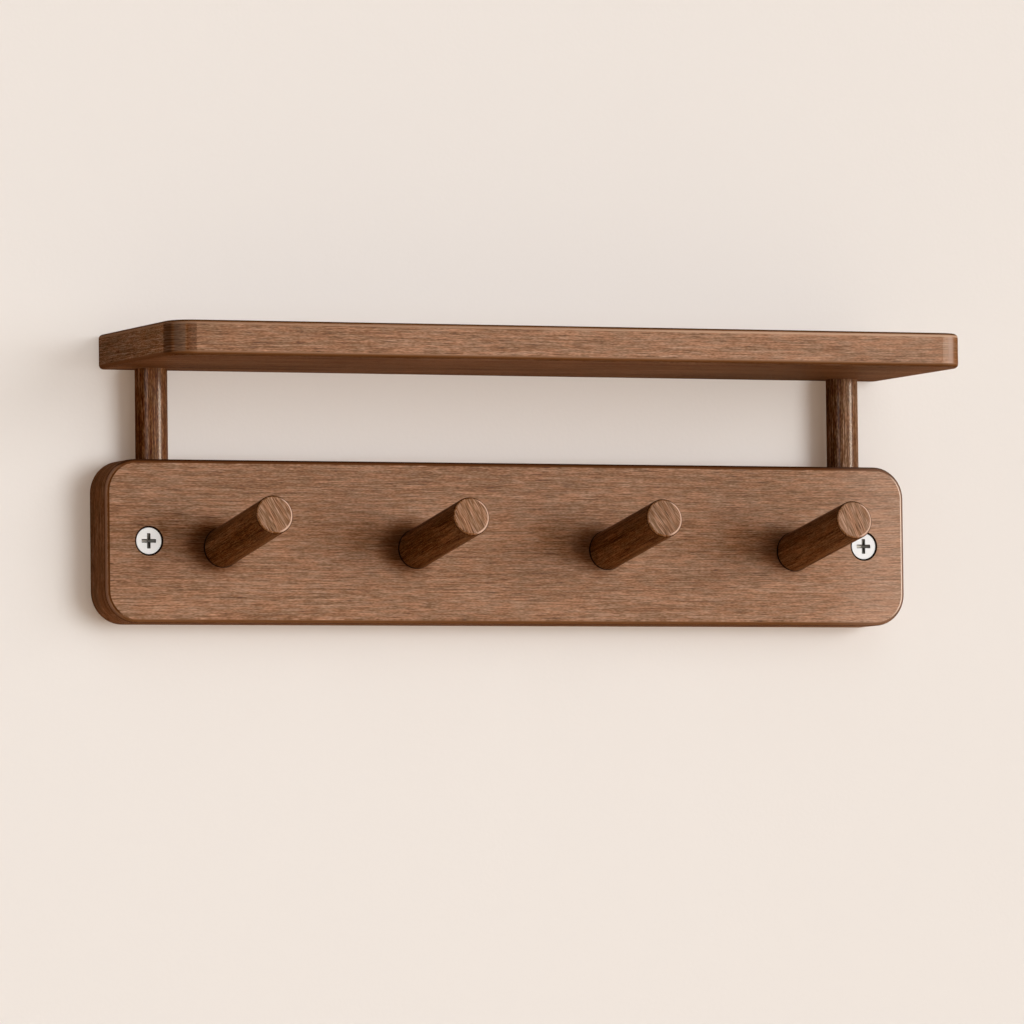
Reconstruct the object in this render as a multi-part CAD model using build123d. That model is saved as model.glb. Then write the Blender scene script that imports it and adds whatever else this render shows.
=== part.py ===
from build123d import *
import os
from math import cos, radians, sin, tan

# Peg rail with a small shelf above it, in solid walnut.
#
# A long rail with rounded corners is screwed flat to a wall. Four round pegs stand out of its
# face and lean up a little, so that what hangs on them stays on. Two turned posts rise from
# the rail's top edge and carry the shelf.
#
# Millimetres. X runs along the rail, Z is up, and the room is on the -Y side. The wall is the
# plane Y = 0, and the origin is the centre of the rail's back face.

# ---- rail ----
rail_length = 400.0
rail_height = 75.0
rail_thickness = 22.0
rail_corner_radius = 15.0

# ---- shelf ----
shelf_length = 392.0
shelf_depth = 103.0
shelf_thickness = 16.0
shelf_front_corner_radius = 12.0
shelf_back_corner_radius = 4.0

# ---- edges of both boards ----
edge_round = 2.0             # the soft edge that a hand meets
wall_edge_chamfer = 0.6      # the rail's edge against the wall is only broken

# ---- posts between the rail and the shelf ----
post_height = 42.0           # the open gap between the rail and the shelf
post_diameter = 15.0
post_inset = 26.5            # from the rail's end to a post's centre line
post_tenon_diameter = 10.0
post_tenon_in_rail = 18.0
post_tenon_in_shelf = 9.0

# ---- pegs ----
peg_count = 4
peg_end_inset = 56.75        # from the rail's end to the nearest peg's centre line
peg_diameter = 18.0
peg_reach = 70.0             # along the peg, from the rail's face to its end
peg_tilt = 9.5               # degrees that a peg leans up from square to the rail
peg_drop = 2.8               # a peg's centre line meets the rail's face this far below its middle
peg_end_chamfer = 1.0        # the turned edge of a peg's end
peg_tenon_diameter = 12.0
peg_tenon_length = 14.0

# ---- wall screws ----
screw_inset = 21.0           # from the rail's end to a screw's centre line
screw_length = 60.0
screw_head_diameter = 12.4
screw_head_angle = 90.0      # degrees across the countersunk cone
screw_head_sink = 0.5        # the head lies this far below the rail's face
screw_shank_diameter = 4.4
screw_thread_diameter = 6.0
screw_point_length = 7.0
screw_hole_diameter = 6.6    # clear of the thread, which passes through the rail
cross_span = 6.8             # across the two arms of the cross recess
cross_width = 1.5
cross_depth = 2.8
cross_floor_span = 3.0       # the arms' ends slope in to this at the bottom

# ---- fits ----
glue_clearance = 0.1         # all round a glued tenon
glue_well = 0.5              # left empty below a tenon's end
tenon_chamfer = 0.8
screw_seat_clearance = 0.05  # between the head's cone and its countersink

# ---- places that follow from the sizes above ----
rail_top = rail_height / 2
rail_face = -rail_thickness
shelf_underside = rail_top + post_height
post_middle = -rail_thickness / 2
post_places = [side * (rail_length / 2 - post_inset) for side in (-1, 1)]
peg_spacing = (rail_length - 2 * peg_end_inset) / (peg_count - 1)
peg_places = [peg_end_inset - rail_length / 2 + index * peg_spacing for index in range(peg_count)]
screw_places = [side * (rail_length / 2 - screw_inset) for side in (-1, 1)]
screw_head_top = rail_face + screw_head_sink
beyond = 5.0                 # how far a cutting tool runs past the face that it enters


def rod(diameter, start, end):
    """A round bar along the local Z axis, from one height to another."""
    bar = Cylinder(diameter / 2, end - start, align=(Align.CENTER, Align.CENTER, Align.MIN))
    return Pos(0, 0, start) * bar


def edge_at(solid, height):
    """The circular edges of a solid that lie at one height on its local Z axis."""
    return solid.edges().filter_by(GeomType.CIRCLE).filter_by_position(Axis.Z, height, height)


def tenon(diameter, start, end):
    """A round bar whose far end, the one that enters the bore first, is chamfered."""
    bar = rod(diameter, min(start, end), max(start, end))
    return chamfer(edge_at(bar, end), tenon_chamfer)


def peg_frame(x):
    """Local axes of one peg: on the rail's face, with Z out along the peg."""
    tilt = radians(peg_tilt)
    return Plane(origin=(x, rail_face, -peg_drop), x_dir=(1, 0, 0), z_dir=(0, -cos(tilt), sin(tilt)))


def screw_frame(x):
    """Local axes of one screw: on the rail's face, with Z into the wall."""
    return Plane(origin=(x, rail_face, 0), x_dir=(1, 0, 0), z_dir=(0, 1, 0))


def cone_depth(mouth_diameter, throat_diameter):
    """How deep a cone at the angle of the screw's head runs from one diameter to another."""
    return (mouth_diameter - throat_diameter) / 2 / tan(radians(screw_head_angle / 2))


def taper(diameter, end_diameter, start, end):
    """A round bar along the local Z axis that narrows evenly from one height to another."""
    bar = Cone(diameter / 2, end_diameter / 2, end - start, align=(Align.CENTER, Align.CENTER, Align.MIN))
    return Pos(0, 0, start) * bar


def head_cone(mouth_diameter, throat_diameter):
    """A cone with its wide end on Z = 0, at the angle of the screw's head."""
    return taper(mouth_diameter, throat_diameter, 0, cone_depth(mouth_diameter, throat_diameter))


def peg_bore():
    """The slanting blind bore that takes a peg's tenon."""
    return rod(peg_tenon_diameter + 2 * glue_clearance, -(peg_tenon_length + glue_well), beyond)


def screw_bore():
    """A clearance hole through the rail, countersunk a little deeper than the head needs."""
    slope = tan(radians(screw_head_angle / 2))
    sink = screw_head_sink + screw_seat_clearance
    mouth = screw_head_diameter + 2 * slope * sink
    hole = rod(screw_hole_diameter, -beyond, rail_thickness + beyond)
    return hole + head_cone(mouth, screw_hole_diameter)


def make_rail():
    """The board against the wall, bored for the pegs, the posts and the wall screws."""
    outline = RectangleRounded(rail_length, rail_height, rail_corner_radius)
    board = extrude(Plane.XZ * outline, amount=rail_thickness)
    board = fillet(board.faces().sort_by(Axis.Y)[0].edges(), edge_round)
    board = chamfer(board.faces().sort_by(Axis.Y)[-1].edges(), wall_edge_chamfer)
    post_bore_depth = post_tenon_in_rail + glue_well
    post_bore = rod(post_tenon_diameter + 2 * glue_clearance, rail_top - post_bore_depth, rail_top + beyond)
    for x in post_places:
        board -= Pos(x, post_middle, 0) * post_bore
    for x in peg_places:
        board -= peg_frame(x).location * peg_bore()
    for x in screw_places:
        board -= screw_frame(x).location * screw_bore()
    return board


def make_shelf():
    """The board on top, its back edge on the wall, bored from below for the posts."""
    half = shelf_length / 2
    outline = Pos(0, -shelf_depth / 2) * Rectangle(shelf_length, shelf_depth)
    front = outline.vertices().filter_by_position(Axis.Y, -shelf_depth, -shelf_depth)
    outline = fillet(front, shelf_front_corner_radius)
    back = outline.vertices().filter_by(lambda v: abs(v.Y) < 1e-6 and abs(abs(v.X) - half) < 1e-6)
    outline = fillet(back, shelf_back_corner_radius)
    board = extrude(Pos(0, 0, shelf_underside) * outline, amount=shelf_thickness)
    top_and_bottom = board.faces().filter_by(Axis.Z)
    board = fillet(top_and_bottom.edges(), edge_round)
    bore_depth = post_tenon_in_shelf + glue_well
    bore = rod(post_tenon_diameter + 2 * glue_clearance, shelf_underside - beyond, shelf_underside + bore_depth)
    for x in post_places:
        board -= Pos(x, post_middle, 0) * bore
    return board


def make_post(x):
    """A turned post: square shoulders bear on the rail and the shelf, round tenons enter both."""
    body = rod(post_diameter, rail_top, shelf_underside)
    lower = tenon(post_tenon_diameter, rail_top, rail_top - post_tenon_in_rail)
    upper = tenon(post_tenon_diameter, shelf_underside, shelf_underside + post_tenon_in_shelf)
    return Pos(x, post_middle, 0) * (body + lower + upper)


def make_peg(x):
    """A leaning peg: its shoulder is cut to the tilt, so that it seats all round on the rail."""
    overrun = peg_diameter / 2 * tan(radians(peg_tilt)) + beyond
    body = rod(peg_diameter, -overrun, peg_reach)
    body = chamfer(edge_at(body, peg_reach), peg_end_chamfer)
    body = peg_frame(x).location * body
    body = split(body, bisect_by=Plane(origin=(x, rail_face, 0), z_dir=(0, -1, 0)), keep=Keep.TOP)
    stub = tenon(peg_tenon_diameter, peg_diameter / 2, -peg_tenon_length)
    return body + peg_frame(x).location * stub


def cross_recess():
    """Two crossing slots whose ends slope in towards the bottom, for a cross-point driver."""
    half = cross_span / 2
    floor_half = cross_floor_span / 2
    profile = Polygon((-half, 0), (half, 0), (floor_half, cross_depth), (-floor_half, cross_depth), align=None)
    slot = extrude(Plane.XZ * profile, amount=cross_width / 2, both=True)
    return slot + Rot(0, 0, 90) * slot


def make_screw(x):
    """A countersunk wood screw: the thread is plain here, at its outer diameter."""
    head_height = cone_depth(screw_head_diameter, screw_shank_diameter)
    thread_start = rail_thickness - screw_head_sink + screw_seat_clearance
    shank = rod(screw_shank_diameter, head_height / 2, thread_start)
    thread = rod(screw_thread_diameter, thread_start, screw_length - screw_point_length)
    point = taper(screw_thread_diameter, 0, screw_length - screw_point_length, screw_length)
    screw = head_cone(screw_head_diameter, screw_shank_diameter) + shank + thread + point - cross_recess()
    return screw_frame(x).location * Pos(0, 0, screw_head_sink) * screw


nodes = {"rail": make_rail(), "shelf": make_shelf()}
for name, x in zip(("left_post", "right_post"), post_places):
    nodes[name] = make_post(x)
for index, x in enumerate(peg_places):
    nodes[f"peg_{index + 1}"] = make_peg(x)
for name, x in zip(("left_wall_screw", "right_wall_screw"), screw_places):
    nodes[name] = make_screw(x)

os.makedirs("parts", exist_ok=True)
for name, solid in nodes.items():
    solid.label = name
    export_step(solid, f"parts/{name}.step")
    print(f"{name}: {len(solid.solids())} solid, {solid.volume / 1000:.1f} cm3")
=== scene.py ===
import math

import bmesh
import bpy
import numpy as np
from mathutils import Matrix, Vector


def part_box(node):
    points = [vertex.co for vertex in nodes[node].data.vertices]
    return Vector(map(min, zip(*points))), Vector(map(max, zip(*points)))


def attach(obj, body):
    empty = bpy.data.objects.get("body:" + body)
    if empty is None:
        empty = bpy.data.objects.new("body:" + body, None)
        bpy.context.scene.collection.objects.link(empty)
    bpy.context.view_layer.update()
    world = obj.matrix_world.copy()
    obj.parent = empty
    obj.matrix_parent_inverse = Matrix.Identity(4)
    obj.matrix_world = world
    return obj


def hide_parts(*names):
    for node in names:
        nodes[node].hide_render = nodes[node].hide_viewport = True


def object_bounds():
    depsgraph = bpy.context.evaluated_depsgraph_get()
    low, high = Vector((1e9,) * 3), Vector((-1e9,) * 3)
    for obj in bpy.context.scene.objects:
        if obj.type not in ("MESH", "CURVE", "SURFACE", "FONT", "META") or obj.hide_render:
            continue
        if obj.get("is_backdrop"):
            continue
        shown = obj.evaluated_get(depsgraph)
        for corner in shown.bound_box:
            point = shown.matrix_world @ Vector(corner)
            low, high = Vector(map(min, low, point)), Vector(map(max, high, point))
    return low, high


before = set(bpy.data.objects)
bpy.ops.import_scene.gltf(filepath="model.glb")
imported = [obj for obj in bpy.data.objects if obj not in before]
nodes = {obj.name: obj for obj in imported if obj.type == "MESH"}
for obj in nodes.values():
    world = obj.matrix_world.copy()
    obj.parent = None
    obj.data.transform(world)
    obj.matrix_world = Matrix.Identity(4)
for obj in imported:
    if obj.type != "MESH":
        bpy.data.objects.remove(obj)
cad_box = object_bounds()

# %% [markdown]
# ## The peg rail and its frame
#
# A peg rail is a board on a wall with round pegs in its face. This one carries a shelf on two
# short posts. The construction is already fixed: ten solids, in metres, with the wall at y = 0,
# the room towards -y and z up. Nothing below moves them. What this file adds is what a maker
# would call the finish: oiled walnut, bright screws, a wall to hang on and soft light.

# %% What the frame holds
MM = 0.001
rail_low, rail_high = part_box("rail")
shelf_low, shelf_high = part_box("shelf")
print("nodes:", sorted(nodes))
print("rail", [round(v / MM, 1) for v in rail_high - rail_low], "mm")
print("shelf", [round(v / MM, 1) for v in shelf_high - shelf_low], "mm")

# %% [markdown]
# ## The camera
#
# A long board is best looked at from well back with a long lens, so that its lines stay almost
# parallel. A lens of 300 mm on a 36 mm sensor does that. The camera stands to the
# left of the rail and a little below it, so the shelf's underside and the left ends show. It is
# placed by how far it has gone round and up from the rail's middle, which is easier to judge
# than three coordinates.

# %% The camera
LENS = 300.3                      # mm, on the sensor below
SENSOR = 36.0
CAMERA_DISTANCE = 3.970           # m, from the point it looks at
CAMERA_AZIMUTH = math.radians(21.98)
CAMERA_RISE = math.radians(2.96)  # how steeply it looks up
CAMERA_ROLL = math.radians(-0.665)
LOOK_AT = Vector((-0.0001, rail_low.y, 0.0147))


def aim(azimuth, rise, roll):
    """Where something looks, and its turn, if it looks along +y and then swings right by azimuth, up by
    rise and about its own line by roll. The turn's columns are its right, its up and its back."""
    forward = Vector((
        math.sin(azimuth) * math.cos(rise),
        math.cos(azimuth) * math.cos(rise),
        math.sin(rise),
    ))
    right = Vector((math.cos(azimuth), -math.sin(azimuth), 0.0))
    up = right.cross(forward)
    rolled_right = right * math.cos(roll) + up * math.sin(roll)
    rolled_up = up * math.cos(roll) - right * math.sin(roll)
    turn = Matrix((rolled_right, rolled_up, -forward)).transposed()
    return forward, turn


forward, turn = aim(CAMERA_AZIMUTH, CAMERA_RISE, CAMERA_ROLL)
camera = bpy.data.objects.new("camera", bpy.data.cameras.new("camera"))
bpy.context.scene.collection.objects.link(camera)
camera.data.lens = LENS
camera.data.sensor_width = SENSOR
camera.matrix_world = Matrix.Translation(LOOK_AT - forward * CAMERA_DISTANCE) @ turn.to_4x4()
bpy.context.scene.camera = camera
print("camera at", [round(v, 3) for v in camera.matrix_world.translation])

# %% [markdown]
# ## A short way to write materials
#
# A node material is a small graph. Written node by node it fills pages, so this helper makes a
# node, fills its sockets and gives back its output in one call. A socket takes a plain value or
# another node's output. The first half holds the graph and its sums.


# %% Nodes and sums
class Graph:
    """A material's node graph, with sums on numbers and on vectors."""

    def __init__(self, name):
        self.material = bpy.data.materials.new(name)
        self.material.use_nodes = True
        self.tree = self.material.node_tree
        self.tree.nodes.clear()

    def node(self, kind, sockets=None, **settings):
        """A node of this kind, with its settings and its sockets, by name or number, filled."""
        made = self.tree.nodes.new(kind)
        for key, value in settings.items():
            setattr(made, key, value)
        for key, value in (sockets or {}).items():
            if isinstance(value, bpy.types.NodeSocket):
                self.tree.links.new(value, made.inputs[key])
            else:
                made.inputs[key].default_value = value
        return made

    def math(self, operation, *values, clamp=False):
        """One sum on numbers."""
        sockets = dict(enumerate(values))
        return self.node("ShaderNodeMath", sockets, operation=operation, use_clamp=clamp).outputs[0]

    def plus(self, a, b):
        """The sum of two numbers."""
        return self.math("ADD", a, b)

    def minus(self, a, b):
        """The first number less the second."""
        return self.math("SUBTRACT", a, b)

    def times(self, a, b):
        """The product of two numbers. Of two zones it is where they overlap."""
        return self.math("MULTIPLY", a, b)

    def most(self, first, *others):
        """The largest of some numbers. Of zones it is all of them together."""
        for other in others:
            first = self.math("MAXIMUM", first, other)
        return first

    def vector(self, operation, a, b=(0.0, 0.0, 0.0)):
        """One sum on vectors that gives a vector."""
        return self.node("ShaderNodeVectorMath", {0: a, 1: b}, operation=operation).outputs[0]

    def scaled(self, vector, factor):
        """A vector times a number."""
        sockets = {0: vector, "Scale": factor}
        return self.node("ShaderNodeVectorMath", sockets, operation="SCALE").outputs[0]

    def dot(self, a, b):
        """How far vector a reaches along vector b, times the length of b."""
        return self.node("ShaderNodeVectorMath", {0: a, 1: b}, operation="DOT_PRODUCT").outputs["Value"]

    def length(self, vector):
        """The length of a vector."""
        return self.node("ShaderNodeVectorMath", {0: vector}, operation="LENGTH").outputs["Value"]

    def joined(self, x=0.0, y=0.0, z=0.0):
        """Three numbers as one vector."""
        return self.node("ShaderNodeCombineXYZ", {0: x, 1: y, 2: z}).outputs[0]

    def parted(self, vector):
        """The x, y and z of a vector."""
        return self.node("ShaderNodeSeparateXYZ", {0: vector}).outputs


def calls(kind):
    """The names of the calls that a class adds."""
    return [name for name in vars(kind) if not name.startswith("__")]


print("a graph has", calls(Graph))

# %% [markdown]
# The second half holds what a finish is made of. Noise gives the cloudiness of paint and the
# lines of wood. A zone picks out a strip of a surface, such as the turn of a rounded edge, and
# coats lay one colour over another in the order in which a painter would.


# %% Places, noise and colours
class Finish(Graph):
    """A material graph with places, directions, noise, colours and bumps."""

    def place(self):
        """Where the point is on the piece, in metres."""
        return self.node("ShaderNodeTexCoord").outputs["Object"]

    def normal(self):
        """The way that the surface faces, as a vector of length 1."""
        return self.node("ShaderNodeTexCoord").outputs["Normal"]

    def facing(self, axis):
        """How squarely the surface faces this axis, from either side: 1 face on, 0 edge on."""
        return self.math("ABSOLUTE", self.dot(self.normal(), axis))

    def camera_ray(self):
        """1 for the camera's own rays, 0 for light on its way round the room."""
        return self.node("ShaderNodeLightPath").outputs["Is Camera Ray"]

    def noise(self, place, cells, detail=3.0, rough=0.55):
        """Cloudy noise about 0.5, with so many cells to a metre along each axis of place."""
        place = self.vector("MULTIPLY", place, cells)
        sockets = {"Vector": place, "Scale": 1.0, "Detail": detail, "Roughness": rough}
        return self.node("ShaderNodeTexNoise", sockets, noise_dimensions="3D").outputs["Fac"]

    def swing(self, value, gain):
        """A value about 0.5 turned into a swing about 0, times gain."""
        return self.times(self.minus(value, 0.5), gain)

    def between(self, value, low, high, to_low=0.0, to_high=1.0):
        """Value from low..high moved smoothly to to_low..to_high, and held beyond them. Low may be
        above high."""
        sockets = {"Value": value, "From Min": low, "From Max": high, "To Min": to_low, "To Max": to_high}
        return self.node("ShaderNodeMapRange", sockets, interpolation_type="SMOOTHSTEP").outputs["Result"]

    def zone(self, value, start, full, fading, end):
        """1 where value lies from full to fading, falling softly to 0 at start and end."""
        return self.times(self.between(value, start, full), self.between(value, end, fading))

    def ramp(self, value, stops):
        """A colour read off a ramp, whose stops are (place, red, green, blue)."""
        made = self.node("ShaderNodeValToRGB", {0: value})
        stripes = made.color_ramp.elements
        while len(stripes) < len(stops):
            stripes.new(0.5)
        for stripe, (place, *colour) in zip(stripes, stops):
            stripe.position = place
            stripe.color = (*colour, 1.0)
        return made.outputs["Color"]

    def blend(self, amount, a, b, kind="MIX"):
        """Colour a turned towards b by amount. The node's sockets 6 and 7 and its output 2 are those
        for colours."""
        a, b = [value if isinstance(value, bpy.types.NodeSocket) else (*value, 1.0) for value in (a, b)]
        sockets = {0: amount, 6: a, 7: b}
        return self.node("ShaderNodeMix", sockets, data_type="RGBA", blend_type=kind).outputs[2]

    def coats(self, colour, *layers):
        """A colour under layers, laid one after another. A layer is how much of it there is, its colour
        and, for one that tints what lies below it, the word MULTIPLY."""
        for amount, paint, *kind in layers:
            colour = self.blend(amount, colour, paint, *kind)
        return colour

    def bump(self, height, depth, strength=1.0, over=None):
        """A surface normal from a height between 0 and 1 that stands for depth metres, over the piece's
        own normal or over another one."""
        sockets = {"Height": height, "Distance": depth, "Strength": strength}
        if over is not None:
            sockets["Normal"] = over
        return self.node("ShaderNodeBump", sockets).outputs[0]

    def close(self, shader):
        """Joins the shader to the material's output and gives the material."""
        self.node("ShaderNodeOutputMaterial", {"Surface": shader})
        return self.material


def wear(piece, material):
    """Gives a piece one material."""
    piece.data.materials.clear()
    piece.data.materials.append(material)
    print(piece.name, "wears", material.name, "of", len(material.node_tree.nodes), "nodes")


print("a finish adds", calls(Finish))

# %% [markdown]
# ## The wall and the floor
#
# The rail hangs on a plastered wall, painted a pale cream. The wall matters to the look of it
# because it takes the soft shadows that lift the shelf off it. In a bright room those shadows
# are filled with light that has bounced off warm things many times, so they are pale and warm.
# A faint warm glow of the paint stands for those bounces, and only the camera sees it, so that
# it lights nothing. The wall is a one-sided sheet, painted on the room side and open from
# behind, so that the back of the rail and the screws can be looked at too. It stands a hair
# inside the rail's back, because two sheets in one plane flicker. A pale floor with the same
# kind of glow lies where a room's floor would be.

# %% The paints
EVENLY = Vector((1.0, 1.0, 1.0))  # as many cells of noise along each axis
WALL_COLOUR = (0.660, 0.658, 0.648)
WALL_MOTTLE = (0.60, 0.60, 0.59)
WALL_GLOW = (0.160, 0.108, 0.075)
WALL_BOUNCE = (0.50, 0.35, 0.24)
FLOOR_COLOUR = (0.80, 0.76, 0.72)
FLOOR_MOTTLE = (0.72, 0.68, 0.64)
FLOOR_GLOW = (0.20, 0.18, 0.16)
FLOOR_BOUNCE = (0.85, 0.66, 0.48)


def seen_and_bounced(f, seen, bounced):
    """A colour for the camera's own rays, and another for the light that the sheet throws back on the
    part."""
    return f.blend(f.camera_ray(), bounced, seen)


def wall_paint():
    """Matt cream paint with a faint roller texture, on the room side only."""
    f = Finish("wall_paint")
    place = f.place()
    mottle = f.noise(place, 5.0 * EVENLY, 2.0)
    colour = f.blend(f.between(mottle, 0.3, 0.7, 0.0, 0.03), WALL_COLOUR, WALL_MOTTLE)
    roller = f.noise(place, 500.0 * EVENLY)
    paint = f.node("ShaderNodeBsdfPrincipled", {
        "Base Color": seen_and_bounced(f, colour, WALL_BOUNCE),
        "Roughness": 0.9,
        "Specular IOR Level": 0.2,
        "Normal": f.bump(roller, 0.05 * MM),
        "Emission Color": (*WALL_GLOW, 1.0),
        "Emission Strength": f.camera_ray(),
    }).outputs[0]
    behind = f.node("ShaderNodeNewGeometry").outputs["Backfacing"]
    clear = f.node("ShaderNodeBsdfTransparent").outputs[0]
    return f.close(f.node("ShaderNodeMixShader", {0: behind, 1: paint, 2: clear}).outputs[0])


def floor_paint():
    """Pale matt floor with a faint cloudiness."""
    f = Finish("floor_paint")
    mottle = f.noise(f.place(), 2.0 * EVENLY)
    colour = f.blend(f.between(mottle, 0.3, 0.7, 0.0, 0.06), FLOOR_COLOUR, FLOOR_MOTTLE)
    return f.close(f.node("ShaderNodeBsdfPrincipled", {
        "Base Color": seen_and_bounced(f, colour, FLOOR_BOUNCE),
        "Roughness": 0.85,
        "Emission Color": (*FLOOR_GLOW, 1.0),
        "Emission Strength": f.camera_ray(),
    }).outputs[0])


print("paint: wall", WALL_COLOUR, "and floor", FLOOR_COLOUR)

# %% Wall and floor
WALL_HALF_WIDTH = 0.60            # m
WALL_ABOVE = 0.60                 # m, from the rail's middle
FLOOR_BELOW = 1.30                # m
FLOOR_HALF = 6.0                  # m
WALL_SET_IN = 0.3 * MM


def sheet(name, corner, side, rise):
    """A flat sheet: its corner, and that corner moved by side, by side and rise, and by rise. It faces the
    way that the cross product of side and rise points."""
    corner, side, rise = np.array((corner, side, rise))
    mesh = bpy.data.meshes.new(name)
    mesh.from_pydata([corner, corner + side, corner + side + rise, corner + rise], [], [(0, 1, 2, 3)])
    made = bpy.data.objects.new(name, mesh)
    bpy.context.scene.collection.objects.link(made)
    made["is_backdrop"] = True
    return made


wall_corner = (-WALL_HALF_WIDTH, rail_high.y - WALL_SET_IN, -FLOOR_BELOW)
wall = sheet("wall", wall_corner, (2 * WALL_HALF_WIDTH, 0.0, 0.0), (0.0, 0.0, FLOOR_BELOW + WALL_ABOVE))
floor_corner = (-FLOOR_HALF, -FLOOR_HALF, -FLOOR_BELOW)
floor = sheet("floor", floor_corner, (2 * FLOOR_HALF, 0.0, 0.0), (0.0, 2 * FLOOR_HALF, 0.0))
wear(wall, wall_paint())
wear(floor, floor_paint())

# %% [markdown]
# ## The light
#
# The light comes from a row of large windows to the right of the rail, at about its own height.
# A lamp close by would light one end of the wall more than the other, so each window is a sun
# with a very wide disc: it is as even as real daylight from outside, and the width of the disc
# sets how soft the shadows are. The windows further round rake along the board and throw the
# pegs' shadows to the left. The widest shadow in a room like this is the shelf's, so the main
# window's light is let past the shelf and keeps the wall below it pale. The ceiling and a
# doorway on the left fill what the windows leave dark.
#
# What the polish mirrors is set apart from what lights the wood. A broad dim screen gives the
# satin haze on the faces, one narrow pane draws the bright line down each post, and a card on
# the left is mirrored by what faces that way. A last lamp behind the wall is for whoever looks
# at the back of the rail.


# %% Windows
def window(name, azimuth, rise, width, strength, past=(), colour=(1.0, 1.0, 1.0)):
    """Wide even daylight, from azimuth degrees right of straight ahead and rise degrees up. Width is
    its disc in degrees, and pieces named in past throw no shadow in it."""
    towards, turned = aim(math.radians(-azimuth), math.radians(-rise), 0.0)
    made = bpy.data.objects.new(name, bpy.data.lights.new(name, "SUN"))
    bpy.context.scene.collection.objects.link(made)
    made.data.angle = math.radians(width)
    made.data.energy = strength
    made.data.color = colour
    made.matrix_world = turned.to_4x4()
    if past:
        made.light_linking.blocker_collection = bpy.data.collections.new(name + "_shadows")
        for node_name, piece in nodes.items():
            if node_name not in past:
                made.light_linking.blocker_collection.objects.link(piece)
    print(name, "shines towards", [round(v, 2) for v in towards])
    return made


# After each name come the azimuth, the rise, the width and the strength.
for light in (
    window("near_window", 5, 3, 30, 0.32),
    window("main_window", 30, 0, 28, 1.18, past=("shelf",)),
    window("high_window", 30, 8, 34, 0.82),
    window("far_window", 55, 12, 34, 0.72),
    window("ceiling", 0, 42, 40, 0.36),
    window("doorway", -80, 5, 50, 0.24),
):
    light.visible_glossy = False
for light in (
    window("screen", 22, 0, 70, 0.75, colour=(1.0, 0.78, 0.58)),
    window("pane", 42, 3, 18, 1.00, colour=(1.0, 0.90, 0.76)),
    window("card", -58, 0, 30, 0.40),
):
    light.visible_diffuse = False
window("behind_the_wall", 165, 25, 60, 2.60)

# %% [markdown]
# ## The room
#
# Light comes off every wall of a real room. A world background could hold a picture of one, but
# satin wood mirrors nothing sharply enough to need it, so the world is one dim warm colour from
# all sides. Where the camera looks past the edge of the wall it sees a paler colour instead, as
# it would see the rest of the room.

# %% The room
ROOM_LIGHT = (1.0, 0.78, 0.58, 1.0)
ROOM_STRENGTH = 0.05
ROOM_SEEN = (0.86, 0.82, 0.78, 1.0)


def room():
    """The room as a dim even light, which looks pale where the camera sees it past the wall."""
    world = bpy.data.worlds.new("room")
    world.use_nodes = True
    tree = world.node_tree
    tree.nodes.clear()
    lit = tree.nodes.new("ShaderNodeBackground")
    lit.inputs["Color"].default_value = ROOM_LIGHT
    lit.inputs["Strength"].default_value = ROOM_STRENGTH
    seen = tree.nodes.new("ShaderNodeBackground")
    seen.inputs["Color"].default_value = ROOM_SEEN
    ray = tree.nodes.new("ShaderNodeLightPath")
    mix = tree.nodes.new("ShaderNodeMixShader")
    out = tree.nodes.new("ShaderNodeOutputWorld")
    tree.links.new(ray.outputs["Is Camera Ray"], mix.inputs[0])
    tree.links.new(lit.outputs[0], mix.inputs[1])
    tree.links.new(seen.outputs[0], mix.inputs[2])
    tree.links.new(mix.outputs[0], out.inputs["Surface"])
    return world


bpy.context.scene.world = room()
bpy.context.scene.view_settings.view_transform = "Standard"
print("the room lights with", ROOM_STRENGTH, "and is seen as", ROOM_SEEN[:3])

# %% [markdown]
# ## Walnut
#
# Walnut is a brown wood with fine straight grain. Three things make it read as wood, and each
# is a noise stretched along the grain. The growth layers are long sheets, seen as soft lines on
# the sides of a board and as close lines across its ends. The fibres are fine dashes of tan and
# grey-brown, some long and some short. The pores are shorter, thinner flecks. One recipe makes
# all of them for any piece, given which way its grain runs, so the rail, shelf, posts and pegs
# look cut from the same plank without repeating each other.

# %% Which way the grain runs
WANDER = 2.8 * MM                 # how wide the grain's slow waves are
WANDER_CELLS = (9.0, 14.0, 14.0)  # waves to a metre along, across and through the grain


class Grain:
    """Grain coordinates of a piece in metres: u along the grain, v across it and w through its growth
    layers. End is how squarely the surface cuts the grain."""

    def __init__(self, f, along, across, through):
        self.f = f
        place = f.place()
        self.u, self.v, self.w = [f.dot(place, axis) for axis in (along, across, through)]
        self.end = f.facing(along)

    def board(self, broad, middle):
        """Grain of a board whose broad faces look along one axis. V is counted from middle and fades to
        0 on the narrow sides, so that the lines follow the outline round them."""
        across = self.f.minus(self.v, middle)
        self.u = self.f.plus(self.u, self.f.times(across, self.end))
        self.v = self.f.times(across, self.f.facing(broad))
        return self

    def rod(self):
        """Grain of a turned piece: on its end the growth layers show as long straight lines."""
        self.v = self.f.times(self.v, self.f.between(self.end, 0.5, 0.9, 1.0, 0.07))
        return self

    def place(self, shift):
        """The coordinates as one vector, moved by shift and a little wavy."""
        own = self.f.vector("ADD", self.f.joined(self.u, self.v, self.w), shift)
        wave = self.f.swing(self.f.noise(own, WANDER_CELLS, 1.0), WANDER)
        return self.f.vector("ADD", own, self.f.joined(y=wave, z=wave))


print("the grain wanders within", round(WANDER / MM, 1), "mm")

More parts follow.
